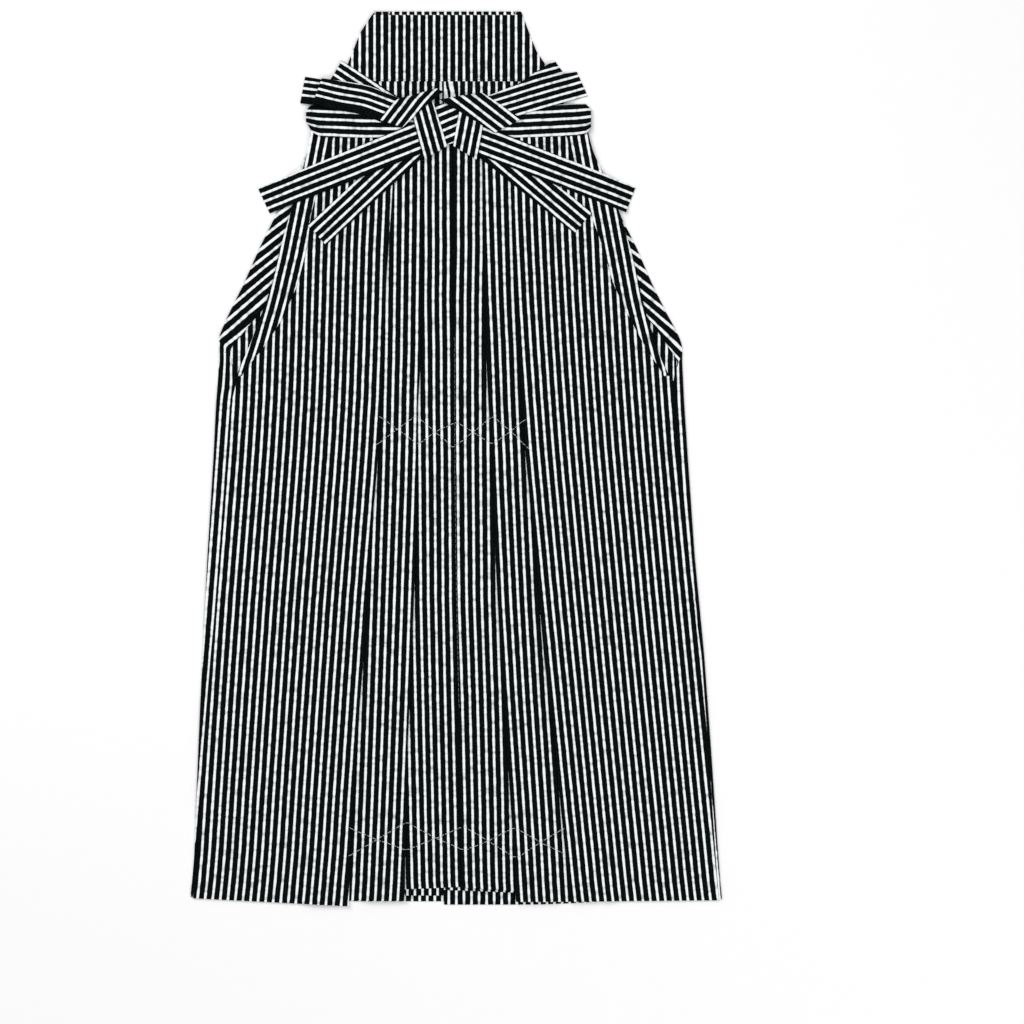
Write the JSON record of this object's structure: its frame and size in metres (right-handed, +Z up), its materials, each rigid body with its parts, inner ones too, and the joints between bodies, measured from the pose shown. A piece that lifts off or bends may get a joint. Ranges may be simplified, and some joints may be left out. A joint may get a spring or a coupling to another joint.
{
  "type": "hakama trousers",
  "caption": "Striped hakama trousers laid flat, front side up: pleated wide legs, a stiff waist board and ties folded into a crossed bow.",
  "frame": {"origin": "middle of the outline, on the surface that the garment lies on", "axes": "+X to the viewer's right, +Y from the hem towards the waist board, +Z up out of the surface, out of the garment's front"},
  "size_m": [0.638, 1.0728, 0.0154],
  "materials": {
    "panel_cloth": "ribbed woven cloth, black with narrow white stripes along its length",
    "tie_cloth": "the same striped cloth folded to a flat tie, stripes along the tie",
    "board_cloth": "the same striped cloth stretched over a stiff board"
  },
  "bodies": {
    "root": {"back_left": "panel_cloth", "back_right": "panel_cloth", "inner_leg_left": "panel_cloth", "inner_leg_right": "panel_cloth", "front_left": "panel_cloth", "front_right": "panel_cloth", "sasahida_left": "panel_cloth", "sasahida_right": "panel_cloth", "front_band": "tie_cloth", "loop_under_left": "tie_cloth", "back_tie_left": "tie_cloth", "back_tie_right": "tie_cloth", "loop_left": "tie_cloth", "loop_right": "tie_cloth", "knot_middle": "tie_cloth", "tail_short_left": "tie_cloth", "tail_short_right": "tie_cloth", "tail_long_left": "tie_cloth", "tail_long_right": "tie_cloth", "wrap_left": "tie_cloth", "wrap_right": "tie_cloth", "cross_left": "tie_cloth", "cross_right": "tie_cloth", "waist_board": "board_cloth"}
  },
  "joints": []
}
